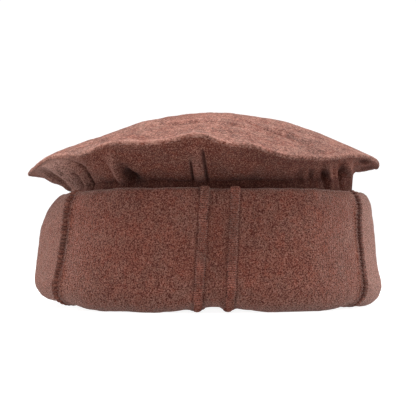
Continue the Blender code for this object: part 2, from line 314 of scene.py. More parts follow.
CREASES = (
    Crease(351.2, 0.8, -1.4, 0.0, 0.38, 1.0),
    Crease(355.9, 0.8, -1.4, -1.2, 0.16, 1.0),
    Crease(329.2, 3.2, -1.0, -2.5, 0.34, 1.0),
    Crease(329.6, 2.8, -1.3, -2.5, 0.56, 1.0),
    Crease(330.9, 3.8, -1.5, -2.0, 0.64, 1.0),
    Crease(312.4, 0.75, -2.0, 4.4, 0.0, 1.0, -9.0),
    Crease(306.3, 0.9, -0.8, 4.2, 0.02, 1.0, -12.0),
    Crease(299.3, 1.6, -0.8, 0.5, 0.10, 1.0),
    Crease(303.2, 0.8, -0.5, 3.0, 0.02, 0.7, -16.0),
    Crease(291.6, 1.3, -0.5, 1.5, 0.10, 0.95),
    Crease(286.0, 1.5, -0.5, 3.0, 0.12, 0.9),
    Crease(34.0, 1.8, -0.7, -7.0, 0.35, 1.0),
    Crease(41.2, 1.6, -0.6, -8.0, 0.40, 1.0),
    Crease(41.2, 1.6, -0.7, -8.0, 0.64, 1.0),
    Crease(52.0, 1.9, -0.7, -10.0, 0.38, 1.0),
    Crease(52.0, 1.9, -0.8, -10.0, 0.64, 1.0),
    Crease(61.0, 7.0, -1.9, 0.0, 0.03, 0.24),
    Crease(29.0, 2.4, -0.55, -4.0, 0.30, 1.0),
    Crease(12.0, 2.2, -0.30, -2.0, 0.50, 1.0),
    Crease(66.0, 1.8, -0.5, 3.0, 0.30, 1.0),
    Crease(99.0, 2.0, -0.6, 3.0, 0.30, 1.0),
    Crease(125.0, 2.0, -0.6, 0.0, 0.30, 1.0),
    Crease(149.0, 1.8, -0.5, 0.0, 0.35, 1.0),
    Crease(171.0, 2.0, -0.7, -2.0, 0.30, 1.0),
    Crease(199.0, 1.8, -0.6, 3.0, 0.35, 1.0),
    Crease(226.0, 2.0, -0.7, 0.0, 0.30, 1.0),
    Crease(244.0, 1.8, -0.6, 2.0, 0.30, 1.0),
    Crease(262.0, 2.0, -0.5, 0.0, 0.30, 1.0),
)

WRINKLES = (
    Wrinkle(0.29, -0.66, -38, 0.22, 0.035, -0.8),
    Wrinkle(0.38, -0.62, -36, 0.19, 0.045, 0.6),
    Wrinkle(0.52, -0.56, -30, 0.16, 0.030, -0.4),
    Wrinkle(0.12, -0.70, -12, 0.22, 0.035, -0.5),
    Wrinkle(-0.16, -0.66, 8, 0.24, 0.040, -0.4),
    Wrinkle(-0.50, -0.45, 26, 0.30, 0.045, -0.5),
    Wrinkle(-0.20, 0.30, 34, 0.34, 0.055, -0.3),
    Wrinkle(0.34, 0.44, 62, 0.30, 0.050, -0.35),
    Wrinkle(0.04, 0.66, -20, 0.26, 0.040, 0.4),
)

# Painted shade on the top panel towards its edge, more over the front and right than over the left.
TOP_TONES = (
    Tone(356.0, 150.0, 30.0, 35.0, 0.32, 0.0),
    Tone(215.0, 352.0, 35.0, 30.0, 0.14, 0.0),
)

# Painted shade on the side panel under the crown's edge, at the front right.
SIDE_TONES = (
    Tone(4.0, 48.0, 9.0, 9.0, 0.30, 0.0),
)

# Painted light on the cuff's faces beyond the side ribs, more on the right, and painted shade on the front
# just inside the side ribs.
CUFF_TONES = (
    Tone(53.0, 145.0, 1.5, 50.0, 0.0, 0.42),
    Tone(215.0, 307.0, 50.0, 1.5, 0.0, 0.15),
    Tone(30.0, 51.0, 12.0, 12.0, 0.22, 0.0),
    Tone(309.0, 345.0, 12.0, 12.0, 0.22, 0.0),
)

# The side and rear ribs' cords are copies of the cord wool darkened as painted shade, and the right side rib
# has painted shade down its front side.
RIBS = (
    RibPlace("rib_front_left", 355, CordWool.PLAIN, 1.0, 1.0, 1.0),
    RibPlace("rib_front_right", 5, CordWool.PLAIN, 1.0, 1.0, 1.0),
    RibPlace("rib_side_right", 52, CordWool.PAINTED_HALF_SHADE, 2.0, 0.85, 0.1, 1.0),
    RibPlace("rib_rear_right", 130, CordWool.PAINTED_SHADE, 2.0, 0.85, 0.1),
    RibPlace("rib_back_right", 175, CordWool.PLAIN, 1.0, 1.0, 1.0),
    RibPlace("rib_back_left", 185, CordWool.PLAIN, 1.0, 1.0, 1.0),
    RibPlace("rib_rear_left", 230, CordWool.PAINTED_SHADE, 2.0, 0.85, 0.1),
    RibPlace("rib_side_left", 308, CordWool.PAINTED_SHADE, 2.0, 0.85, 0.1),
)

CUFF_LUMPS = (
    Lumps(0.0005, (34, 9), 11),
    Lumps(0.00025, (90, 24), 12),
    Lumps(0.00016, (230, 60), 13),
)

SIDE_LUMPS = (
    Lumps(0.0005, (60, 4), 21, 0.2),
    Lumps(0.00016, (230, 16), 22),
)

TOP_LUMPS = (
    Lumps(0.0005, (40, 10), 31, 0.5),
    Lumps(0.00016, (230, 40), 32, 2 / 3),
)


# Shape rules


def smooth(x: Array | float) -> Array:
    """Runs from 0 to 1 with level ends as x goes from 0 to 1."""
    x = np.clip(x, 0.0, 1.0)
    return x * x * (3 - 2 * x)


def rising(x: Array | float, start: float) -> Array:
    """Runs from 0 to 1 with level ends as x goes from a start to 1."""
    return smooth((x - start) / (1 - start))


def bump(x: Array | float) -> Array:
    """A rounded bump of height 1 at x = 0 that is exactly 0 from x = 1 outwards."""
    return np.cos(np.clip(np.abs(x), 0.0, 1.0) * np.pi / 2) ** 2


def unit(vectors: Array) -> Array:
    """Vectors scaled to length 1."""
    return vectors / np.maximum(np.linalg.norm(vectors, axis=-1, keepdims=True), 1e-12)


def steps(points: Array, axis: int) -> Array:
    """Distances between neighbouring points along one axis of an array of points."""
    return np.linalg.norm(np.diff(points, axis=axis), axis=-1)


def running(lengths: Array) -> Array:
    """Running totals of a row of lengths, from 0."""
    return np.concatenate([[0.0], np.cumsum(lengths)])


def turn_between(angles: Array, centre: Array | float) -> Array:
    """The signed angle from centre to each angle, the short way round."""
    return (angles - centre + 180.0) % 360.0 - 180.0


def cubic(t: Array, span: Array, ends: tuple[Array, Array], slopes: tuple[Array, Array]) -> Array:
    """Reads the cubic curve that has given values a and b and slopes p and q at its two ends.

    Over a span s it is (2t^3 - 3t^2 + 1) a + (t^3 - 2t^2 + t) s p + (3t^2 - 2t^3) b + (t^3 - t^2) s q.

    Args:
        t: Share of the way from the first end to the second.
        span: The distance between the ends.
        ends: The values at the two ends.
        slopes: The slopes at the two ends.

    Returns:
        The curve's values.
    """
    first = (2 * t**3 - 3 * t**2 + 1) * ends[0] + (t**3 - 2 * t**2 + t) * span * slopes[0]
    second = (3 * t**2 - 2 * t**3) * ends[1] + (t**3 - t**2) * span * slopes[1]
    return first + second


def around(rows: tuple[NamedTuple, ...], column: str, angles: Array) -> Array:
    """Reads a smooth closed curve through one column of a table.

    Between two rows the value is the cubic that has both rows' values and slopes, where a row's slope is
    the weighted mean of the slopes to its neighbours.

    Args:
        rows: A table with an angle in each row.
        column: The column's name.
        angles: Where the curve is read, in degrees.

    Returns:
        The curve's value at each angle.
    """
    places = np.array([row.angle for row in rows], float)
    order = np.argsort(places)
    places = np.concatenate([places[order] - 360.0, places[order], places[order] + 360.0])
    values = np.tile(np.array([getattr(row, column) for row in rows], float)[order], 3)
    slopes = np.gradient(values, places)
    angles = np.asarray(angles, float) % 360.0
    low = np.searchsorted(places, angles, side="right") - 1
    span = places[low + 1] - places[low]
    t = (angles - places[low]) / span
    return cubic(t, span, (values[low], values[low + 1]), (slopes[low], slopes[low + 1]))


def toned(rows: tuple[Tone, ...], angles: Array) -> tuple[Array, Array]:
    """Adds up a table of tones.

    Args:
        rows: The tones.
        angles: Degrees round the cap.

    Returns:
        How much painted shade and painted light the cloth has at each angle.
    """
    dark, painted_light = np.zeros_like(angles), np.zeros_like(angles)
    for tone in rows:
        reach = smooth(turn_between(angles, tone.start) / tone.start_soft)
        reach = reach * smooth(-turn_between(angles, tone.stop) / tone.stop_soft)
        dark += tone.dark * reach
        painted_light += tone.painted_light * reach
    return dark, painted_light


def refine(rows: Array, count: int) -> Array:
    """Resamples every section of a surface at even steps along its length.

    Each section becomes the cubic through its own points with the slopes of its neighbours, read at places
    that are evenly spaced along the mean section.

    Args:
        rows: Points, sections by points by 3.
        count: Points in each new section.

    Returns:
        Points, sections by count by 3.
    """
    places = running(steps(rows, 1).mean(axis=0))
    slopes = np.gradient(rows, places, axis=1)
    at = np.linspace(0.0, places[-1], count)
    low = np.clip(np.searchsorted(places, at, side="right") - 1, 0, len(places) - 2)
    span = (places[low + 1] - places[low])[None, :, None]
    t = (at - places[low])[None, :, None] / span
    return cubic(t, span, (rows[:, low], rows[:, low + 1]), (slopes[:, low], slopes[:, low + 1]))


def outward(surface: Array) -> Array:
    """Gives the normals of a surface of sections that go round the cap, out of its showing side.

    Args:
        surface: Points, sections by points by 3.

    Returns:
        Unit vectors, sections by points by 3.
    """
    along = np.gradient(surface, axis=1)
    across = np.roll(surface, -1, axis=0) - np.roll(surface, 1, axis=0)
    return unit(np.cross(along, across))


def softness(angles: Array, along: Array, cells: tuple[int, int], seed: int) -> Array:
    """Gives soft noise from -1 to 1 that closes on itself round the cap.

    Random values stand on a lattice of round cells by along cells, and between them the value is blended
    by the smooth step of the place in the cell.

    Args:
        angles: Degrees round the cap, one for each section.
        along: Share of the way along a section, one for each point.
        cells: Cells round the cap and cells along a section.
        seed: Which random lattice.

    Returns:
        Sections by points.
    """
    table = np.random.default_rng(seed).uniform(-1.0, 1.0, (cells[0], cells[1] + 2))
    x = (angles % 360.0)[:, None] / 360.0 * cells[0]
    y = along[None, :] * cells[1]
    i, j = np.floor(x).astype(int), np.floor(y).astype(int)
    a, b = smooth(x - i), smooth(y - j)
    near, far = i % cells[0], (i + 1) % cells[0]
    low = table[near, j] * (1 - a) + table[far, j] * a
    high = table[near, j + 1] * (1 - a) + table[far, j + 1] * a
    return low * (1 - b) + high * b


def uneven(layers: tuple[Lumps, ...], angles: Array, along: Array) -> Array:
    """Adds up layers of soft unevenness.

    Args:
        layers: The layers.
        angles: Degrees round the cap, one for each section.
        along: Share of the way along a section, one for each point.

    Returns:
        How far each point stands out, sections by points.
    """
    total = np.zeros((len(angles), len(along)))
    for layer in layers:
        grown = smooth(along / layer.reach) if layer.reach else 1.0
        total += layer.depth * softness(angles, along, layer.cells, layer.seed) * grown
    return total


@dataclass(frozen=True)
class Oval:
    """A squared oval in plan, an ellipse where its power n is 2.

    The radius at each angle is (|sin / half width|^n + |cos / half depth|^n) ^ (-1 / n).
    """

    half_width: float
    half_depth: float
    power: float

    def at(self, angles: Array) -> Array:
        """Gives the oval's points.

        Args:
            angles: Degrees round the oval.

        Returns:
            Points in plan, x and y.
        """
        turn = np.radians(angles)
        across = np.abs(np.sin(turn) / self.half_width) ** self.power
        along = np.abs(np.cos(turn) / self.half_depth) ** self.power
        radius = (across + along) ** (-1 / self.power)
        return np.stack([radius * np.sin(turn), -radius * np.cos(turn)], axis=-1)

    def normal(self, angles: Array) -> Array:
        """Outward unit normals, from two points close to either side."""
        tangent = self.at(angles + NORMAL_STEP) - self.at(angles - NORMAL_STEP)
        return unit(np.stack([tangent[..., 1], -tangent[..., 0]], axis=-1))


# Shader maths


class Value:
    """A number that varies over a surface: arithmetic on it adds Math nodes."""

    def __init__(self, graph: Graph, socket: bpy.types.NodeSocket) -> None:
        """Wraps one output socket of a graph."""
        self.graph = graph
        self.socket = socket

    def _math(self, operation: str, first: Value | float, second: Value | float) -> Value:
        """The Math node of one operation on two numbers."""
        made = self.graph.node("ShaderNodeMath", {"operation": operation}, {0: first, 1: second})
        return Value(self.graph, made.outputs[0])

    def __add__(self, other: Value | float) -> Value:
        """Self plus other."""
        return self._math("ADD", self, other)

    __radd__ = __add__

    def __sub__(self, other: Value | float) -> Value:
        """Self minus other."""
        return self._math("SUBTRACT", self, other)

    def __rsub__(self, other: Value | float) -> Value:
        """Other minus self."""
        return self._math("SUBTRACT", other, self)

    def __mul__(self, other: Value | float) -> Value:
        """Self times other."""
        return self._math("MULTIPLY", self, other)

    def __abs__(self) -> Value:
        """The size of self, without its sign."""
        return self._math("ABSOLUTE", self, 0.0)

    def between(self, low: float, high: float) -> Value:
        """Gives a smooth step of self.

        Args:
            low: Where the step is 0.
            high: Where the step is 1.

        Returns:
            The step, from 0 to 1.
        """
        made = self.graph.node(
            "ShaderNodeMapRange",
            {"interpolation_type": "SMOOTHSTEP", "clamp": True},
            {"Value": self, "From Min": low, "From Max": high, "To Min": 0.0, "To Max": 1.0},
        )
        return Value(self.graph, made.outputs[0])


class Pattern(NamedTuple):
    """The character of a fractal noise: its detail, its roughness and how far it is bent."""

    detail: float
    rough: float
    bend: float


class Graph:
    """Adds nodes to one material or world, with their settings first and then their inputs."""

    def __init__(self, tree: bpy.types.NodeTree) -> None:
        """Starts on an emptied node tree."""
        self.tree = tree
        tree.nodes.clear()

    def node(
        self,
        kind: str,
        settings: Mapping[str, object] | None = None,
        inputs: Mapping[str | int, object] | None = None,
    ) -> bpy.types.Node:
        """Adds a node.

        Args:
            kind: The node's type.
            settings: Its own settings, by name, set before any input.
            inputs: Values or links of its input sockets, by name or number.

        Returns:
            The new node.
        """
        made = self.tree.nodes.new(kind)
        for name, setting in (settings or {}).items():
            setattr(made, name, setting)
        for key, given in (inputs or {}).items():
            if isinstance(given, Value):
                self.tree.links.new(given.socket, made.inputs[key])
            elif isinstance(given, bpy.types.NodeSocket):
                self.tree.links.new(given, made.inputs[key])
            else:
                made.inputs[key].default_value = given
        return made

    def mix(
        self, factor: Value | float, first: Rgba | bpy.types.NodeSocket, second: Rgba | bpy.types.NodeSocket
    ) -> bpy.types.NodeSocket:
        """Mixes two colours.

        The node's inputs 0, 6 and 7 and its output 2 are the ones that it uses for colours.

        Args:
            factor: The second colour's share.
            first: A colour or its socket.
            second: A colour or its socket.

        Returns:
            The mixed colour.
        """
        settings = {"data_type": "RGBA", "clamp_factor": True}
        made = self.node("ShaderNodeMix", settings, {0: factor, 6: first, 7: second})
        return made.outputs[2]

    def noise(self, where: bpy.types.NodeSocket, scale: float, pattern: Pattern) -> Value:
        """Adds fractal noise about 0.5.

        Args:
            where: The place it is read at.
            scale: Its features a metre.
            pattern: Its character.

        Returns:
            The noise.
        """
        inputs = {"Vector": where, "Scale": scale, "Detail": pattern.detail}
        inputs |= {"Roughness": pattern.rough, "Distortion": pattern.bend}
        return Value(self, self.node("ShaderNodeTexNoise", None, inputs).outputs[0])

    def mark(self, name: str) -> Value:
        """A piece's own mark, 0 where the piece has none."""
        made = self.node("ShaderNodeAttribute", {"attribute_type": "GEOMETRY", "attribute_name": name})
        return Value(self, made.outputs["Fac"])

    def stretched(self, where: bpy.types.NodeSocket, scale: Triple) -> bpy.types.NodeSocket:
        """A place with each of its directions scaled by itself."""
        made = self.node("ShaderNodeMapping", {"vector_type": "POINT"}, {"Vector": where, "Scale": scale})
        return made.outputs[0]

    def camera_sees(self) -> Value:
        """1 where the camera itself looks at a stage material, 0 where light passes."""
        return Value(self, self.node("ShaderNodeLightPath").outputs["Is Camera Ray"])

    def principled(self, inputs: Mapping[str, object]) -> None:
        """Ends a material with its shader, given the shader's inputs."""
        shader = self.node("ShaderNodeBsdfPrincipled", None, inputs)
        self.node("ShaderNodeOutputMaterial", None, {"Surface": shader.outputs[0]})


def rgba(colour: Triple) -> Rgba:
    """A solid colour with full alpha."""
    return (*colour, 1.0)


def neutral(tone: float) -> Rgba:
    """A neutral colour with full alpha."""
    return (tone, tone, tone, 1.0)


GRAIN = Pattern(2.0, 0.6, 0.35)
BUNDLES = Pattern(1.0, 0.5, 0.9)
STREAKS = Pattern(2.0, 0.6, 0.3)
PATCHES = Pattern(3.0, 0.6, 0.4)
WARMTH = Pattern(2.0, 0.55, 0.6)
FLECKS = Pattern(1.0, 0.5, 0.5)
BLOTCHES = Pattern(3.0, 0.65, 0.9)


@dataclass(frozen=True)
class WoolFinish:
    """Fulled heather wool: mixed red, brown and grey fibres, matted, with a soft sheen at grazing angles.

    The colour starts from the wool's own, is pushed towards redder and greyer wool in soft patches and
    streaks, and is broken by dark pits and pale fibre tips about a fibre bundle wide. The piece's marks lay
    painted light, painted shade and a painted highlight over pale fuzz on top. The relief is the same fibre
    pattern, over a faint weave. Grain, fibres, patches, weave and blotches are features a metre, warmth and
    flecks are multiples of patches and fibres, and each _at pair is where a noise's step starts and ends.
    """

    colour: Triple = (0.190, 0.066, 0.047)
    pit: Triple = (0.056, 0.014, 0.010)
    tip: Triple = (0.41, 0.205, 0.158)
    red: Triple = (0.242, 0.060, 0.038)
    grey: Triple = (0.180, 0.079, 0.060)
    # The colours of painted light and painted shade, which the piece's marks lay on.
    painted_light: Triple = (0.350, 0.205, 0.172)
    painted_shade: Triple = (0.030, 0.010, 0.008)
    stretch: Triple = (1.0, 1.0, 1.0)
    streaks: Triple = (260.0, 45.0, 1.0)
    grain: float = 1500.0
    fibres: float = 950.0
    fibre_edge: float = 7.0
    patches: float = 70.0
    warmth: float = 3.1
    flecks: float = 0.62
    blotches: float = 170.0
    weave: float = 1250.0
    weave_bend: float = 3.0
    weave_bend_scale: float = 60.0
    grey_at: Span = (0.38, 0.66)
    red_at: Span = (0.46, 0.72)
    streak_at: Span = (0.50, 0.78)
    blotch_dark_at: Span = (0.50, 0.64)
    blotch_pale_at: Span = (0.48, 0.36)
    pit_at: Span = (0.52, 0.40)
    tip_at: Span = (0.48, 0.62)
    fleck_at: Span = (0.66, 0.74)
    red_share: float = 0.50
    streak_dark: float = 0.35
    blotch_dark: float = 0.0
    blotch_pale: float = 0.0
    pit_dark: float = 0.92
    tip_pale: float = 0.66
    fleck_red: float = 0.40
    # Shares of painted shade and of the painted highlight over pale fuzz.
    painted_shade_share: float = 0.72
    nap_and_highlight_pale: float = 0.95
    grain_height: float = 0.55
    fibre_height: float = 0.30
    weave_height: float = 0.25
    patch_height: float = 0.40
    relief: float = 0.0009
    relief_strength: float = 0.75
    roughness: float = 0.92
    specular: float = 0.05
    sheen: float = 0.42
    sheen_roughness: float = 0.12
    sheen_tint: Triple = (1.0, 0.82, 0.74)

    def woven(self, graph: Graph, cut: bpy.types.NodeSocket) -> Value:
        """Adds the weave's cords, that run along the cloth as it was cut.

        Args:
            graph: The material's nodes.
            cut: The place on the cut cloth.

        Returns:
            The cords' height, from 0 to 1.
        """
        settings = {"wave_type": "BANDS", "bands_direction": "X", "wave_profile": "SIN"}
        inputs = {"Vector": cut, "Scale": self.weave / (2 * math.pi), "Distortion": self.weave_bend}
        inputs |= {"Detail": 1.0, "Detail Scale": self.weave_bend_scale}
        return Value(graph, graph.node("ShaderNodeTexWave", settings, inputs).outputs["Fac"])

    def material(self, name: str) -> bpy.types.Material:
        """Builds the material.

        Args:
            name: The material's name.

        Returns:
            A procedural material that reads Object coordinates and the piece's own UV map.
        """
        made = bpy.data.materials.new(name)
        made.use_nodes = True
        graph = Graph(made.node_tree)
        place = graph.node("ShaderNodeTexCoord")
        here, cut = place.outputs["Object"], place.outputs["UV"]
        where = graph.stretched(here, self.stretch)
        grain = graph.noise(where, self.grain, GRAIN)
        bundles = graph.noise(where, self.fibres, BUNDLES)
        fibre = (1 - abs(bundles - 0.5) * self.fibre_edge).between(0.0, 1.0)
        streak = graph.noise(graph.stretched(cut, self.streaks), 1.0, STREAKS)
        patch = graph.noise(where, self.patches, PATCHES)
        warmth = graph.noise(where, self.patches * self.warmth, WARMTH)
        fleck = graph.noise(where, self.fibres * self.flecks, FLECKS)
        blotch = graph.noise(here, self.blotches, BLOTCHES)
        # The mark of pale fuzz with a painted highlight, which also leaves out the pits.
        nap_and_highlight = graph.mark("nap_and_highlight")
        colour = rgba(self.colour)
        for share, over in (
            (patch.between(*self.grey_at), self.grey),
            (warmth.between(*self.red_at) * self.red_share, self.red),
            (streak.between(*self.streak_at) * self.streak_dark, self.pit),
            # Painted light, from the piece's mark.
            (graph.mark("painted_light"), self.painted_light),
            (blotch.between(*self.blotch_dark_at) * self.blotch_dark, self.pit),
            (blotch.between(*self.blotch_pale_at) * self.blotch_pale, self.tip),
            (grain.between(*self.pit_at) * (1 - nap_and_highlight) * self.pit_dark, self.pit),
            (fibre * grain.between(*self.tip_at) * self.tip_pale, self.tip),
            (fleck.between(*self.fleck_at) * self.fleck_red, self.red),
            # Painted shade, from the piece's mark.
            (graph.mark("painted_shade") * self.painted_shade_share, self.painted_shade),
            # Pale fuzz with a painted highlight, from the piece's mark.
            (nap_and_highlight * fibre * self.nap_and_highlight_pale, self.tip),
        ):
            colour = graph.mix(share, colour, rgba(over))
        height = grain * self.grain_height + fibre * self.fibre_height
        height = height + self.woven(graph, cut) * self.weave_height + patch * self.patch_height
        relief = {"Strength": self.relief_strength, "Distance": self.relief, "Height": height}
        graph.principled(
            {
                "Base Color": colour,
                "Roughness": self.roughness,
                "Specular IOR Level": self.specular,
                "Sheen Weight": self.sheen,
                "Sheen Roughness": self.sheen_roughness,
                "Sheen Tint": rgba(self.sheen_tint),
                "Normal": graph.node("ShaderNodeBump", None, relief).outputs[0],
            }
        )
        return made


CUFF_WOOL = WoolFinish()
# The side panel's wool, darker than the cuff's as painted shade under the crown's overhang.
PAINTED_SHADE_SIDE_WOOL = WoolFinish(
    colour=(0.122, 0.036, 0.024),
    tip=(0.375, 0.180, 0.136),
    red=(0.162, 0.037, 0.022),
    grey=(0.116, 0.044, 0.032),
    pit_dark=0.80,
    tip_pale=0.80,
    sheen=0.07,
    sheen_tint=(1.0, 0.92, 0.88),
)
TOP_WOOL = WoolFinish(
    colour=(0.205, 0.073, 0.052),
    tip=(0.44, 0.235, 0.185),
    red=(0.260, 0.064, 0.040),
    grey=(0.205, 0.098, 0.076),
    stretch=(0.80, 0.62, 1.0),
    grain=1000.0,
    fibres=760.0,
    blotches=120.0,
    streak_dark=0.05,
    blotch_dark=0.55,
    blotch_pale=0.40,
    pit_dark=0.68,
    tip_pale=0.80,
    relief=0.0010,
    sheen=0.20,
    sheen_roughness=0.30,
)
# The plain, lit cord wool, then copies of it darkened as painted shade, by half and fully.
CORD_WOOL = WoolFinish(colour=(0.335, 0.122, 0.090), weave_height=0.0)
PAINTED_HALF_SHADE_CORD_WOOL = WoolFinish(colour=(0.200, 0.078, 0.058), weave_height=0.0, sheen=0.30)
PAINTED_SHADE_CORD_WOOL = WoolFinish(
    colour=(0.135, 0.048, 0.034),
    tip=(0.320, 0.155, 0.118),
    red=(0.160, 0.046, 0.030),
    grey=(0.125, 0.058, 0.044),
    weave_height=0.0,
    sheen=0.10,
)


# Pieces


class Hold(Enum):
    """How a sheet of cloth is held."""

    FOLDED = "folded"
    GATHERED = "gathered"
    STRETCHED = "stretched"


class Orientation(Enum):
    """Which way a closed grid's faces turn: the order in which their corners are read."""

    AS_SWEPT = 1
    REVERSED = -1


def fan(rim: Array, tip: int) -> Array:
    """Triangles from each point of a closed rim over one tip to the rim's next point."""
    return np.stack([rim, np.full_like(rim, tip), np.roll(rim, -1)], axis=-1)


def ring_mesh(
    name: str,
    surface: Array,
    orientation: Orientation,
    marks: Mapping[str, Array],
    middle: Array | None = None,
) -> bpy.types.Object:
    """Makes a mesh from sections that close on themselves round the cap.

    Each face joins two neighbouring points of one section to the same two of the next. The map's u is the
    mean distance round the cap and its v the mean distance along a section, both in metres.

    Args:
        name: The object's name.
        surface: Points, sections by points by 3.
        orientation: REVERSED turns every face over.
        marks: Shares that the finish reads, sections by points, by name.
        middle: A point that closes the sections' first ends with a fan.

    Returns:
        The object, in the cap's collection.
    """
    sections, points = surface.shape[:2]
    i, j = np.meshgrid(np.arange(sections), np.arange(points - 1), indexing="ij")
    here, after = i * points + j, (i + 1) % sections * points + j
    round_step = np.linalg.norm(np.roll(surface, -1, axis=0) - surface, axis=-1).mean()
    along = running(steps(surface, 1).mean(axis=0))
    u = np.stack([i, i + 1, i + 1, i], axis=-1) * round_step
    v = along[np.stack([j, j, j + 1, j + 1], axis=-1)]
    faces = [np.stack([here, after, after + 1, here + 1], axis=-1).reshape(-1, 4)]
    maps = [np.stack([u, v], axis=-1).reshape(-1, 4, 2)]
    vertices = surface.reshape(-1, 3)
    if middle is not None:
        first = np.arange(sections)
        u = np.stack([first, first + 0.5, first + 1], axis=-1) * round_step
        faces.append(fan(first * points, len(vertices)))
        maps.append(np.stack([u, np.broadcast_to([0.0, -along[1], 0.0], u.shape)], axis=-1))
        vertices = np.concatenate([vertices, middle[None, :]])
    faces, maps = ([block[:, :: orientation.value] for block in blocks] for blocks in (faces, maps))
    made = mesh_object(name, vertices, faces, maps)
    spare = np.zeros(len(vertices) - sections * points)
    for mark, shares in marks.items():
        set_mark(made, mark, np.concatenate([shares.reshape(-1), spare]))
    return made


def set_mark(piece: bpy.types.Object, name: str, shares: Array) -> None:
    """Stores a share at each point of a piece, for its finish to read."""
    layer = piece.data.attributes.new(name, "FLOAT", "POINT")
    layer.data.foreach_set("value", np.ascontiguousarray(shares, np.float32))


def mesh_object(name: str, vertices: Array, faces: list[Array], maps: list[Array]) -> bpy.types.Object:
    """Puts whole arrays into a new smooth-shaded mesh object.

    Args:
        name: The object's name.
        vertices: Points, n by 3.
        faces: Blocks of faces by corners, with the number of each corner's point.
        maps: For each block the corners' places on the map, in metres, or nothing for no map.

    Returns:
        The object, in the cap's collection.
    """
    loops = np.concatenate([block.reshape(-1) for block in faces])
    totals = np.concatenate([np.full(len(block), block.shape[1]) for block in faces])
    mesh = bpy.data.meshes.new(name)
    mesh.vertices.add(len(vertices))
    mesh.vertices.foreach_set("co", vertices.astype(np.float32).reshape(-1))
    mesh.loops.add(len(loops))
    mesh.loops.foreach_set("vertex_index", loops.astype(np.int32))
    mesh.polygons.add(len(totals))
    mesh.polygons.foreach_set("loop_start", running(totals)[:-1].astype(np.int32))
    mesh.update(calc_edges=True)
    if maps:
        layer = mesh.uv_layers.new(name="cloth")
        layer.data.foreach_set("uv", np.concatenate([m.reshape(-1) for m in maps]).astype(np.float32))
    mesh.validate()
    mesh.shade_smooth()
    made = bpy.data.objects.new(name, mesh)
    bpy.data.collections[COLLECTION].objects.link(made)
    return made


def thicken(piece: bpy.types.Object, cloth: float) -> None:
    """Gives a sheet its cloth's thickness, behind its showing side.

    Args:
        piece: The sheet.
        cloth: The thickness.
    """
    wall = piece.modifiers.new("cloth", "SOLIDIFY")
    wall.thickness = cloth
    wall.offset = -1.0
    wall.use_even_offset = False
    wall.use_quality_normals = True


def dress(piece: bpy.types.Object, material: bpy.types.Material, node: str) -> None:
    """Gives a piece its material, ties it to the cap's body and hides the solid that it stands for.

    Args:
        piece: The new piece.
        material: Its finish.
        node: The frame's node that it replaces.
    """
    piece.data.materials.append(material)
    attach(piece, BODY)
    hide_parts(node)


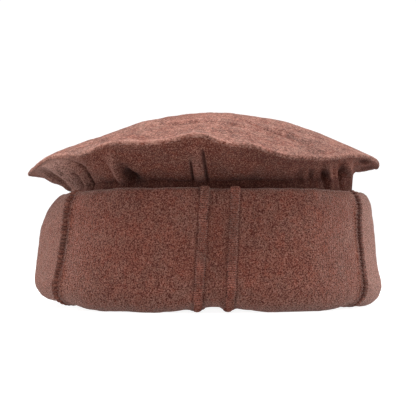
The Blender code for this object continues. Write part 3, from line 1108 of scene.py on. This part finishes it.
@dataclass(frozen=True)
class Cuff:
    """The turned-up band: one strip of cloth, folded up at the foot and tucked in at the top."""

    cloth: float = 0.0018
    piece_gap: float = 0.0004
    width: float = 0.2206
    depth: float = 0.1980
    squareness: float = 2.45
    shift: float = 0.0022
    height: float = 0.0690
    flare: float = 0.0055
    twist: float = -2.5
    top_fold_radius: float = 0.0042
    shoulder_lean: float = 0.0110
    shoulder_start: float = 0.78
    tuck_depth: float = 0.0200
    panel_bulge: float = 0.0020
    foot_thickness: float = 0.0150
    foot_outer_radius: float = 0.0102
    foot_inner_radius: float = 0.0028
    pucker_lift: float = 0.0036
    lap_depth: float = 0.0190
    hem_overlap: float = 0.0100
    hem_shares: tuple[float, ...] = (1.0, 0.80, 0.14)
    inner_corner: tuple[float, ...] = (0, 45, 90)
    outer_corner: tuple[float, ...] = (0, 30, 60, 90)
    face_shares: tuple[float, ...] = (0.33, 0.58, 0.82)
    top_turns: tuple[float, ...] = (0, 40, 80, 125, 180)
    sections: int = 480
    points: int = 98
    valley_depth: float = 0.0012
    valley_width: float = 0.0026
    valley_to: float = 0.80
    # Painted shade beside the ribs and under the crown, and painted light at the foot.
    painted_shade_width: float = 0.0015
    rib_half_width: float = 0.0025
    painted_shade_share: float = 0.85
    painted_crown_shadow: float = 0.12
    painted_crown_shadow_from: float = 0.62
    painted_floor_light: float = 0.22
    painted_floor_light_to: float = 0.30

    @property
    def plan(self) -> Oval:
        """The cuff's widest line in plan."""
        return Oval(self.width / 2, self.depth / 2, self.squareness)

    def angles(self) -> Array:
        """The angles of the cuff's sections, from the back round."""
        return np.arange(self.sections) * 360.0 / self.sections + BACK

    def fold_radius(self, angles: Array) -> Array:
        """The radius of the top fold."""
        return self.top_fold_radius * around(CUFF_SECTIONS, "fold", angles)

    def top(self, angles: Array) -> Array:
        """The height of the top fold."""
        return self.height * around(CUFF_SECTIONS, "height", angles)

    def face_inset(self, angles: Array, share: Array | float) -> Array:
        """Gives how far in the outer face lies, without its bulge.

        Args:
            angles: Degrees round the cap.
            share: Share of the face's height.

        Returns:
            Distances in from the widest line.
        """
        flare = self.flare * around(CUFF_SECTIONS, "flare", angles)
        lean = self.shoulder_lean * around(CUFF_SECTIONS, "shoulder", angles)
        return flare * smooth(share) + lean * rising(share, self.shoulder_start)

    def tuck_inset(self, angles: Array) -> Array:
        """How far the tucked layer lies in from the cuff's widest line."""
        return self.face_inset(angles, 1.0) + 2 * self.fold_radius(angles)

    def foot_lift(self, angles: Array) -> Array:
        """How far the foot is drawn up off the floor."""
        total = sum(p.lift * bump(turn_between(angles, p.angle) / p.half_width) for p in PUCKERS)
        return self.pucker_lift * total

    def profile(self, angles: Array) -> tuple[Array, Array]:
        """Gives the band in section, from the hem inside, round the foot and up the face, to the tuck.

        Args:
            angles: Degrees round the cap.

        Returns:
            How far in from the widest line, and how high, each sections by points.
        """
        one = np.ones_like(angles)
        radius = self.fold_radius(angles)
        top = self.top(angles)
        bulge = self.panel_bulge * around(CUFF_SECTIONS, "bulge", angles)
        hem_height = top - self.lap_depth + self.hem_overlap
        hem_inset = self.tuck_inset(angles) + 2 * self.piece_gap + 2 * self.cloth
        places = [(hem_inset, share * hem_height) for share in self.hem_shares[:-1]]
        places.append((self.foot_thickness * one, self.hem_shares[-1] * hem_height))
        for turn in np.radians(self.inner_corner):
            inset = self.foot_thickness - self.foot_inner_radius * (1 - np.cos(turn))
            places.append((inset * one, self.foot_inner_radius * (1 - np.sin(turn)) * one))
        for turn in np.radians(self.outer_corner):
            inset = self.foot_outer_radius * (1 - np.sin(turn))
            places.append((inset * one, self.foot_outer_radius * (1 - np.cos(turn)) * one))
        for share in self.face_shares:
            inset = self.face_inset(angles, share) - bulge * bump(2 * share - 1)
            places.append((inset, share * (top - radius)))
        for turn in np.radians(self.top_turns):
            height = top - radius * (1 - np.sin(turn))
            places.append((self.face_inset(angles, height / top) + radius * (1 - np.cos(turn)), height))
        places.append((self.tuck_inset(angles), top - self.tuck_depth))
        inset, height = (np.stack(column, axis=1) for column in zip(*places))
        height += self.foot_lift(angles)[:, None] * (1 - smooth(2 * height / self.height))
        return inset, height

    def places(self, angles: Array, inset: Array, height: Array) -> Array:
        """Gives points this far in from the widest line, on sections that twist towards the foot.

        Args:
            angles: Degrees round the cap.
            inset: Distance in from the widest line, sections by points.
            height: Height above the floor, sections by points.

        Returns:
            Points, sections by points by 3.
        """
        twist = self.twist * around(CUFF_SECTIONS, "twist", angles)[:, None]
        turned = angles[:, None] + twist * (1 - height / self.height)
        place = self.plan.at(turned) - inset[..., None] * self.plan.normal(turned)
        return np.stack([place[..., 0] + self.shift, place[..., 1], height], axis=-1)

    def band(self, angles: Array, count: int) -> Array:
        """The plain band at a number of even steps along its sections."""
        return refine(self.places(angles, *self.profile(angles)), count)

    def beside_ribs(self, surface: Array, width: float) -> Array:
        """Gives how near each of the band's sections is to a rib's side.

        Args:
            surface: The band, sections by points by 3.
            width: How far from the rib's side the share reaches 0.

        Returns:
            Shares, 1 at a rib's side, one for each section.
        """
        angles = self.angles()
        one_degree = np.radians(np.linalg.norm(surface[..., :2], axis=-1).mean())
        total = np.zeros_like(angles)
        for rib in RIBS:
            across = np.abs(turn_between(angles, rib.angle)) * one_degree
            total = np.maximum(total, bump((across - self.rib_half_width) / width))
        return total

    def surface(self) -> Array:
        """Gives the showing side of the band's cloth, with its valleys beside the ribs and its soft lumps.

        The plain band is moved along its normals by its layers of lumps less a valley on each side of
        every rib.

        Returns:
            Points, sections by points by 3.
        """
        angles = self.angles()
        surface = self.band(angles, self.points)
        offset = uneven(CUFF_LUMPS, angles, np.linspace(0.0, 1.0, self.points))
        below_fold = 1 - rising(surface[..., 2] / self.height, self.valley_to)
        offset -= self.valley_depth * self.beside_ribs(surface, self.valley_width)[:, None] * below_fold
        surface = surface + offset[..., None] * outward(surface)
        surface[..., 2] = np.maximum(surface[..., 2], 0.0)
        return surface

    def marks(self, surface: Array) -> dict[str, Array]:
        """Gives the band's marks for its finish.

        It has painted shade beside the ribs and a little under the crown, painted light a little at the
        foot, and its stretches have as much painted shade and painted light as their rows say.

        Args:
            surface: The showing side, sections by points by 3.

        Returns:
            The painted shade and painted light marks, sections by points.
        """
        share = surface[..., 2] / self.height
        darker, paler = toned(CUFF_TONES, self.angles())
        # Painted shade under the crown and on darker stretches, and painted light at the foot and on paler
        # stretches.
        dark = self.painted_crown_shadow * rising(share, self.painted_crown_shadow_from) + darker[:, None]
        painted_light = self.painted_floor_light * smooth(1 - share / self.painted_floor_light_to) + paler[:, None]
        # Painted shade beside the ribs.
        beside = self.painted_shade_share * self.beside_ribs(surface, self.painted_shade_width)
        return {"painted_shade": np.maximum(dark, beside[:, None]), "painted_light": painted_light}

    def build(self, finish: WoolFinish) -> bpy.types.Object:
        """Builds and dresses the band.

        Args:
            finish: Its wool.

        Returns:
            The piece.
        """
        surface = self.surface()
        piece = ring_mesh("cuff_band", surface, Orientation.AS_SWEPT, self.marks(surface))
        thicken(piece, self.cloth)
        dress(piece, finish.material("cuff_wool_finish"), "cuff")
        return piece


@dataclass(frozen=True)
class Crown:
    """The crown: a domed top panel and a gathered side panel, joined at a soft edge over the cuff."""

    cuff: Cuff = field(default_factory=Cuff)
    width: float = 0.2276
    depth: float = 0.2190
    edge_height: float = 0.0885
    rise: float = 0.0348
    squareness: float = 2.0
    falloff: float = 2.0
    edge_falloff: int = 6
    edge_wave: float = 0.0100
    dent_depth: float = 0.0020
    neck_pinch: float = 0.0025
    neck_rise: float = 0.0120
    fold_depth: float = 0.0060
    fold_lean: float = 1.0
    hook_power: float = 6.0
    neck_fade_start: float = 0.75
    neck_fade: float = 0.3
    crease_depth: float = 0.0016
    crease_lean: float = 1.5
    crease_in: float = 0.2
    crease_out: float = 0.1
    wrinkle_depth: float = 0.0030
    roll_radius: float = 0.0016
    roll_from: float = 31.0
    roll_to: float = 145.0
    roll_points: int = 9
    tuck_under: float = 0.0004
    # Pale fuzz with a painted highlight along the crown's edge, dimmed under painted shade.
    nap_and_highlight_at_edge: float = 0.65
    nap_and_highlight_on_roll: float = 0.9
    nap_and_highlight_roll_start: float = -0.1
    nap_and_highlight_under: float = 0.35
    nap_and_highlight_reach: float = 0.12
    highlight_dimmed_in_shade: float = 2.0
    # Painted shade on the top panel from this share of the way out.
    top_shade_from: float = 0.25
    # Painted light on the fold crests and the left tip, and painted shade in the creases, hollows, under the
    # edge and at the neck.
    painted_crest_light: float = 0.52
    painted_tip_light: float = 1.0
    tip_angle: float = 298.0
    tip_half_width: float = 25.0
    painted_crease_shade: float = 0.60
    painted_hollow_shade: float = 0.30
    shade_reach: float = 0.75
    painted_neck_shade: float = 0.66
    painted_neck_shade_start: float = 0.86
    crowding: float = 0.45
    sections: int = 720
    side_points: int = 52
    lap_points: int = 6
    top_points: int = 50

    @property
    def plan(self) -> Oval:
        """The crown's edge in plan."""
        return Oval(self.width / 2, self.depth / 2, self.squareness)

    def angles(self) -> Array:
        """The angles of the crown's sections, which crowd towards the front, where its folds are narrow."""
        even = np.arange(self.sections) * 360.0 / self.sections + BACK
        return even - self.crowding * np.degrees(np.sin(np.radians(even)))

    def runs(self) -> Array:
        """The runs of the side panel's points."""
        return np.linspace(0.0, 1.0, self.side_points)

    def seam(self, angles: Array) -> Array:
        """The middle of the seam between the two panels."""
        height = self.edge_height + self.edge_wave * around(EDGE_POINTS, "rise", angles)
        return np.concatenate([self.plan.at(angles), height[:, None]], axis=-1)

    def across(self, row: Fold | Crease, lean_power: float) -> Array:
        """Gives how far the side panel's points lie from a fold's or crease's line.

        Args:
            row: The fold or crease.
            lean_power: How strongly its lean gathers towards the edge, 1 for evenly.

        Returns:
            Distances in half widths, sections by points.
        """
        back = 1 - self.runs()
        line = row.angle + row.lean * back**lean_power + row.hook * back**self.hook_power
        return turn_between(self.angles()[:, None], line[None, :]) / row.half_width

    def folds(self) -> Array:
        """Gives how far the side panel's broad folds stand out.

        Returns:
            Shares of the fold depth, sections by points.
        """
        total = np.zeros((self.sections, self.side_points))
        for fold in FOLDS:
            total += fold.depth * bump(self.across(fold, self.fold_lean)) * smooth(self.runs() / fold.rise)
        return total * (1 - self.neck_fade * rising(self.runs(), self.neck_fade_start))

    def creases(self) -> Array:
        """Gives how far the side panel's fine creases stand out, less than 0 where they stand in.

        Returns:
            Shares of the crease depth, sections by points.
        """
        runs = self.runs()
        total = np.zeros((self.sections, self.side_points))
        for crease in CREASES:
            reach = smooth((runs - crease.start) / self.crease_in)
            reach = reach * smooth((crease.stop + self.crease_out - runs) / self.crease_out)
            total += crease.depth * bump(self.across(crease, self.crease_lean)) * reach
        return total

    def tucked_edge(self) -> Array:
        """Gives the side panel's edge, tucked just inside the end of the top panel's roll.

        Returns:
            Points, one for each section.
        """
        edge = self.top_surface()[:, -1]
        edge[:, :2] -= self.tuck_under * self.plan.normal(self.angles())
        edge[:, 2] += self.tuck_under
        return edge

    def side_surface(self) -> Array:
        """Gives the outer side of the side panel, from the edge in to the neck and down inside the cuff.

        Each section is a quadratic curve from the edge to the neck, drawn by a third point that the neck
        table holds, and is then moved along its normals by the folds, creases and lumps.

        Returns:
            Points, sections by points by 3.
        """
        angles, runs, cuff = self.angles(), self.runs(), self.cuff
        lap = (cuff.tuck_inset(angles) + cuff.piece_gap)[:, None]
        top = cuff.top(angles)[:, None]
        edge = self.tucked_edge()
        pinch = self.neck_pinch * around(NECK_POINTS, "pinch", angles)[:, None]
        rise = self.neck_rise * around(NECK_POINTS, "rise", angles)[:, None]
        neck = cuff.places(angles, lap + pinch, top + rise)[:, 0]
        hold = neck + around(NECK_POINTS, "swell", angles)[:, None] * (edge - neck)
        hold[:, 2] = edge[:, 2] - around(NECK_POINTS, "drop", angles) * (edge[:, 2] - neck[:, 2])
        weights = np.stack([(1 - runs) ** 2, 2 * runs * (1 - runs), runs**2])
        panel = sum(w[None, :, None] * p[:, None, :] for w, p in zip(weights, (edge, hold, neck)))
        offset = self.fold_depth * self.folds() + self.crease_depth * self.creases()
        panel += (offset + uneven(SIDE_LUMPS, angles, runs))[..., None] * outward(panel)
        shares = np.linspace(0.0, 1.0, self.lap_points + 1)[1:]
        laps = [cuff.places(angles, lap, top - share * cuff.lap_depth) for share in shares]
        return np.concatenate([panel, *laps], axis=1)

    def side_marks(self) -> dict[str, Array]:
        """Gives the side panel's marks for its finish.

        It has painted shade in the creases, in the hollows of the folds and where the neck meets the cuff,
        and under the edge as its tones say. Just under the crown's edge it has pale fuzz with a painted
        highlight, and it has painted light on the crests of the folds and at the left tip.

        Returns:
            The painted shade, pale fuzz with painted highlight, and painted light marks, sections by points.
        """
        runs, folds = self.runs(), self.folds()
        tip = bump(turn_between(self.angles(), self.tip_angle) / self.tip_half_width)[:, None]
        # Painted shade where the neck meets the cuff, left out at the left tip.
        neck = self.painted_neck_shade * rising(runs, self.painted_neck_shade_start) * (1 - tip)
        # Painted shade under the crown's edge, as the side's tones say.
        shade = toned(SIDE_TONES, self.angles())[0][:, None] * smooth(1 - runs / self.shade_reach)
        # Painted shade in the creases and in the hollows of the folds.
        hollows = np.maximum(-self.painted_crease_shade * self.creases(), -self.painted_hollow_shade * folds)
        dark = np.clip(np.maximum(hollows, neck) + shade, 0.0, 1.0)
        # Pale fuzz with a painted highlight just under the crown's edge.
        nap_and_highlight = np.tile(self.nap_and_highlight_under * smooth(1 - runs / self.nap_and_highlight_reach), (self.sections, 1))
        # Painted light on the crests of the folds and at the left tip.
        crests = self.painted_crest_light * np.clip(folds, 0.0, 1.0)
        painted_light = np.maximum(self.painted_tip_light * tip, crests) * (1 - dark)
        lap = np.ones((self.sections, self.lap_points))
        rows = (("painted_shade", dark, self.painted_neck_shade), ("nap_and_highlight", nap_and_highlight, 0.0), ("painted_light", painted_light, 0.0))
        return {name: np.concatenate([shown, level * lap], axis=1) for name, shown, level in rows}

    def dome(self, angles: Array, rings: Array) -> Array:
        """Gives the outer side of the top panel at shares of the way out to its edge.

        The height falls from the peak by the share's square, with the edge's wave, the dents and the
        wrinkles added.

        Args:
            angles: Degrees round the cap.
            rings: Shares of the way from the middle to the edge.

        Returns:
            Points, sections by points by 3.
        """
        edge = self.seam(angles) + [0, 0, self.cuff.cloth + self.cuff.piece_gap / 2]
        rows = edge[:, None, :] * rings[None, :, None]
        near_edge = rings**self.edge_falloff
        wave = (edge[:, 2] - self.edge_height)[:, None]
        rows[..., 2] = self.edge_height + self.rise * (1 - rings**self.falloff) + wave * near_edge
        half = self.width / 2
        for dent in DENTS:
            place = dent.radius * self.plan.at(np.array(dent.angle))
            away = np.linalg.norm(rows[..., :2] - place, axis=-1)
            shape = bump(away / (dent.size * half))
            rows[..., 2] += self.dent_depth * dent.depth * shape * (1 - near_edge)
        for wrinkle in WRINKLES:
            turn = math.radians(wrinkle.heading)
            x = rows[..., 0] / half - wrinkle.across
            y = rows[..., 1] / half - wrinkle.along
            length = (x * math.cos(turn) + y * math.sin(turn)) / wrinkle.half_length
            side = (y * math.cos(turn) - x * math.sin(turn)) / wrinkle.half_width
            shape = bump(length) * bump(side)
            rows[..., 2] += self.wrinkle_depth * wrinkle.depth * shape * (1 - near_edge)
        return rows

    def top_surface(self) -> Array:
        """Gives the outer side of the top panel, with its edge rolled over the side panel's.

        The dome ends a little inside the edge and goes on as an arc of the roll's radius, whose heading
        turns from the dome's own slope at the edge to nearly under it.

        Returns:
            Points, sections by points by 3.
        """
        angles = self.angles()
        start, stop = np.radians(self.roll_from), np.radians(self.roll_to)
        pulled_in = self.roll_radius * (1 - math.sin(start)) / (self.width / 2)
        rings = np.linspace(0.0, 1.0, self.top_points + 1)[1:] * (1 - pulled_in)
        rows = self.dome(angles, rings)
        rows[..., 2] += uneven(TOP_LUMPS, angles, rings / rings[-1])
        turns = np.linspace(start, stop, self.roll_points + 1)[1:]
        out = self.roll_radius * (np.sin(turns) - math.sin(start))
        down = self.roll_radius * (np.cos(turns) - math.cos(start))
        roll = np.repeat(rows[:, -1:], self.roll_points, axis=1)
        roll[..., :2] += out[None, :, None] * self.plan.normal(angles)[:, None, :]
        roll[..., 2] += down[None, :]
        return np.concatenate([rows, roll], axis=1)

    def build_side(self, finish: WoolFinish) -> bpy.types.Object:
        """Builds and dresses the side panel.

        Args:
            finish: Its wool.

        Returns:
            The piece.
        """
        piece = ring_mesh("crown_side_panel", self.side_surface(), Orientation.REVERSED, self.side_marks())
        thicken(piece, self.cuff.cloth)
        dress(piece, finish.material("painted_shade_side_wool_finish"), "crown_side")
        return piece

    def build_top(self, finish: WoolFinish) -> bpy.types.Object:
        """Builds and dresses the top panel.

        It has painted shade towards the edge as its tones say, and pale fuzz with a painted highlight at the
        edge and on the roll, dimmed where the painted shade is.

        Args:
            finish: Its wool.

        Returns:
            The piece.
        """
        peak = self.dome(np.array([0.0]), np.array([0.0]))[0, 0]
        surface = self.top_surface()
        along = np.arange(surface.shape[1]) / self.top_points
        # Painted shade towards the edge, as the top's tones say.
        dark = toned(TOP_TONES, self.angles())[0][:, None] * rising(along, self.top_shade_from)
        # Pale fuzz with a painted highlight on the dome's last ring and on the roll.
        nap_and_highlight = np.zeros(surface.shape[:2])
        nap_and_highlight[:, self.top_points - 1] = self.nap_and_highlight_at_edge
        on_roll = np.linspace(self.nap_and_highlight_roll_start, 1.0, self.roll_points)
        nap_and_highlight[:, self.top_points :] = self.nap_and_highlight_on_roll * bump(on_roll)
        marks = {"nap_and_highlight": nap_and_highlight * (1 - self.highlight_dimmed_in_shade * dark), "painted_shade": dark}
        piece = ring_mesh("crown_top_panel", surface, Orientation.REVERSED, marks, peak)
        thicken(piece, self.cuff.cloth)
        dress(piece, finish.material("top_wool_finish"), "crown_top")
        return piece


@dataclass(frozen=True)
class Ribs:
    """The corded ribs: round cords whipped with cross stitches, laid over the cuff from hem to tuck."""

    cuff: Cuff = field(default_factory=Cuff)
    width: float = 0.0050
    height: float = 0.0024
    sunk: float = 0.0010
    stitch: float = 0.00115
    stitch_depth: float = 0.00034
    # Painted shade between the stitches.
    painted_stitch_shade: float = 0.65
    stitch_wander: float = 2.2
    wobble: float = 0.00025
    width_wobble: float = 0.6
    wobble_cells: int = 46
    width_cells: int = 120
    width_seed: int = 50
    noise_turn: float = 350.0
    least_taper: float = 0.02
    top_sink: float = 0.68
    top_from: float = 0.88
    foot_to: float = 0.12
    # How sharply the painted shade down one side of a cord ends.
    shade_edge: float = 2.0
    side_step: float = 0.6
    sides: int = 14
    points: int = 900
    short_of_tuck: int = 30

    def wander(self, cells: int, seed: int) -> Array:
        """Soft noise from -1 to 1 along a cord, read most of the way round a ring of cells."""
        turns = np.linspace(0.0, self.noise_turn, self.points)
        return softness(turns, np.array([0.0]), (cells, 1), seed)[:, 0]

    def surface(self, rib: RibPlace, seed: int) -> tuple[Array, Array]:
        """Gives one cord's surface along the cuff's own section.

        Each point is the path's point, moved sideways and outward round an oval whose size swells with the
        cosine of the distance along the cord over the stitch, and wanders a little with noise. Sideways is
        the way from the cuff's section a small step before the rib to the one a small step after it.

        Args:
            rib: Its place, stitch and height.
            seed: Which random wander.

        Returns:
            Points, points along by points round by 3, and how deep each point along lies between stitches.
        """
        angles = rib.angle + self.side_step * np.array([-1.0, 0.0, 1.0])
        band = self.cuff.band(angles, self.points + self.short_of_tuck)
        low_side, path, high_side = band[:, : self.points]
        sideways = unit(high_side - low_side)
        out = unit(np.cross(sideways, np.gradient(path, axis=0)))
        length = running(steps(path, 0))
        wander = self.wander(self.wobble_cells, seed)
        wave = np.cos(2 * np.pi * length / (self.stitch * rib.stitch) + self.stitch_wander * wander)
        swell = self.stitch_depth * rib.stitch * wave
        ends = np.clip(np.minimum(length, length[-1] - length) / self.width, 0.0, 1.0)
        taper = np.sqrt(np.clip(1 - (1 - ends) ** 2, self.least_taper, 1.0))
        lumpy = self.width_wobble * self.wobble * self.wander(self.width_cells, seed + self.width_seed)
        half = (self.width / 2 + swell + lumpy) * taper
        share = path[:, 2] / self.cuff.height
        sink = self.top_sink * rising(share, self.top_from)
        sink += (1 - rib.foot) * smooth(1 - share / self.foot_to)
        height = self.height * rib.height * (1 - sink)
        tall = ((height + self.sunk) / 2 + swell) * taper
        middle = (height - self.sunk) / 2
        centre = path + middle[:, None] * out + (self.wobble * wander)[:, None] * sideways
        turns = (np.arange(self.sides) * 2 * np.pi / self.sides)[None, :, None]
        surface = centre[:, None, :] + half[:, None, None] * np.cos(turns) * sideways[:, None, :]
        surface += tall[:, None, None] * np.sin(turns) * out[:, None, :]
        surface[..., 2] = np.maximum(surface[..., 2], 0.0)
        return surface, np.clip(-wave, 0.0, 1.0)

    def build(self, rib: RibPlace, seed: int, material: bpy.types.Material) -> bpy.types.Object:
        """Builds and dresses one cord, closed at both ends with a fan to its middle.

        Args:
            rib: Its place.
            seed: Which random wander.
            material: The cord's wool.

        Returns:
            The piece.
        """
        surface, between = self.surface(rib, seed)
        points, sides = surface.shape[:2]
        i, j = np.meshgrid(np.arange(points - 1), np.arange(sides), indexing="ij")
        here, beside = i * sides + j, i * sides + (j + 1) % sides
        quads = np.stack([beside, beside + sides, here + sides, here], axis=-1).reshape(-1, 4)
        run = running(steps(surface.mean(axis=1), 0))
        u = np.stack([j + 1, j + 1, j, j], axis=-1) * 2 * self.width / sides
        v = run[np.stack([i, i + 1, i + 1, i], axis=-1)]
        ring = np.arange(sides)
        low = fan(ring, points * sides)[:, ::-1]
        high = fan((points - 1) * sides + ring, points * sides + 1)
        maps = [np.stack([u, v], axis=-1), np.zeros((2, *low.shape, 2))]
        vertices = np.concatenate([surface.reshape(-1, 3), surface[[0, -1]].mean(axis=1)])
        piece = mesh_object(rib.node.replace("rib", "cord"), vertices, [quads, low, high], maps)
        # Painted shade down one side of the cord, and between the stitches.
        shaded = rib.shade * smooth(-self.shade_edge * np.cos(ring * 2 * np.pi / sides))
        painted_shades = np.maximum(self.painted_stitch_shade * between[:, None], shaded[None, :])
        set_mark(piece, "painted_shade", np.concatenate([painted_shades.reshape(-1), [0.0, 0.0]]))
        dress(piece, material, rib.node)
        return piece


# Studio


def aimed(name: str, data: bpy.types.ID, place: Triple, target: Vector) -> bpy.types.Object:
    """Adds a light or camera to the scene, turned to a target.

    Args:
        name: The object's name.
        data: The light or camera itself.
        place: Where it stands.
        target: What it looks at.

    Returns:
        The object.
    """
    made = bpy.data.objects.new(name, data)
    made.location = place
    made.rotation_euler = (target - Vector(place)).to_track_quat("-Z", "Y").to_euler()
    bpy.context.scene.collection.objects.link(made)
    return made


@dataclass(frozen=True)
class SoftBox:
    """A square studio light that looks at the cap."""

    name: str
    place: Triple
    size: float
    power: float

    def build(self, target: Vector) -> None:
        """Adds the light.

        Args:
            target: Where it is turned to.
        """
        light = bpy.data.lights.new(self.name, "AREA")
        light.shape = "SQUARE"
        light.size = self.size
        light.energy = self.power
        aimed(self.name, light, self.place, target)


@dataclass(frozen=True)
class Studio:
    """A pale floor, a white surround, soft boxes above, in front and to both sides, and the camera."""

    camera_place: Triple = (-0.0410, -0.5585, 0.0345)
    camera_target: Triple = (0.0026, -0.0002, 0.0621)
    lens: float = 73.7
    sensor: float = 36.0
    floor_half: float = 6.0
    floor_drop: float = 0.0002
    floor_tone: float = 0.30
    floor_glow: float = 0.60
    floor_near: float = 0.92
    floor_far: float = 1.02
    floor_reach: Span = (0.14, 0.60)
    surround: float = 0.17
    surround_seen: float = 1.05
    light_target: Triple = (0.0, 0.0, 0.07)
    boxes: tuple[SoftBox, ...] = (
        SoftBox("box_over", (0.0, 0.10, 1.55), 1.5, 63.0),
        SoftBox("box_front", (0.0, -1.60, 0.90), 1.0, 12.0),
        SoftBox("box_left", (-1.50, 0.02, 0.16), 0.9, 26.0),
        SoftBox("box_right", (1.50, 0.10, 0.30), 0.9, 29.0),
    )

    def build_camera(self) -> None:
        """Adds the camera at the photograph's angle and makes it the scene's."""
        lens = bpy.data.cameras.new("view")
        lens.lens = self.lens
        lens.sensor_width = self.sensor
        camera = aimed("view", lens, self.camera_place, Vector(self.camera_target))
        bpy.context.scene.camera = camera

    def build_floor(self) -> None:
        """Adds the pale paper floor, whiter away from the cap, which lights the cap less than it shows."""
        corners = self.floor_half * np.array([[-1, -1, 0], [1, -1, 0], [1, 1, 0], [-1, 1, 0]], float)
        corners[:, 2] = -self.floor_drop
        floor = mesh_object("floor", corners, [np.arange(4)[None, :]], [])
        material = bpy.data.materials.new("floor_paper")
        material.use_nodes = True
        graph = Graph(material.node_tree)
        place = graph.node("ShaderNodeTexCoord").outputs["Object"]
        length = graph.node("ShaderNodeVectorMath", {"operation": "LENGTH"}, {0: place})
        away = Value(graph, length.outputs["Value"]).between(*self.floor_reach)
        paper = graph.mix(away, neutral(self.floor_near), neutral(self.floor_far))
        graph.principled(
            {
                "Base Color": neutral(self.floor_tone),
                "Roughness": 1.0,
                "Specular IOR Level": 0.0,
                "Emission Color": graph.mix(graph.camera_sees(), neutral(self.floor_glow), paper),
                "Emission Strength": 1.0,
            }
        )
        floor.data.materials.append(material)

    def build_surround(self) -> None:
        """Makes the world a white surround that lights the cap more gently than it looks."""
        world = bpy.data.worlds.new("surround")
        world.use_nodes = True
        graph = Graph(world.node_tree)
        strength = self.surround + graph.camera_sees() * (self.surround_seen - self.surround)
        inputs = {"Color": neutral(1.0), "Strength": strength}
        white = graph.node("ShaderNodeBackground", None, inputs)
        graph.node("ShaderNodeOutputWorld", None, {"Surface": white.outputs[0]})
        bpy.context.scene.world = world

    def build(self) -> None:
        """Builds the whole studio."""
        bpy.context.scene.view_settings.view_transform = "Standard"
        self.build_camera()
        self.build_floor()
        self.build_surround()
        for box in self.boxes:
            box.build(Vector(self.light_target))


def logged(piece: bpy.types.Object) -> bpy.types.Object:
    """Logs a finished piece and hands it on."""
    log.info("%s: %d faces", piece.name, len(piece.data.polygons))
    return piece


def main() -> None:
    """Builds the studio and then each piece of the cap, and reports them."""
    logging.basicConfig(level=logging.INFO, format="%(message)s")
    bpy.context.scene.collection.children.link(bpy.data.collections.new(COLLECTION))
    Studio().build()
    cuff = Cuff()
    crown = Crown(cuff)
    ribs = Ribs(cuff)
    band = logged(cuff.build(CUFF_WOOL))
    side = logged(crown.build_side(PAINTED_SHADE_SIDE_WOOL))
    top = logged(crown.build_top(TOP_WOOL))
    # The plain, lit cord wool and its copies darkened as painted shade, by half and fully.
    wools = {
        CordWool.PLAIN: CORD_WOOL.material("cord_wool_finish"),
        CordWool.PAINTED_SHADE: PAINTED_SHADE_CORD_WOOL.material("painted_shade_cord_wool_finish"),
        CordWool.PAINTED_HALF_SHADE: PAINTED_HALF_SHADE_CORD_WOOL.material("painted_half_shade_cord_wool_finish"),
    }
    cords = [
        logged(ribs.build(rib, seed, wools[rib.wool])) for seed, rib in enumerate(RIBS, FIRST_CORD_SEED)
    ]


if __name__ == "__main__":
    main()
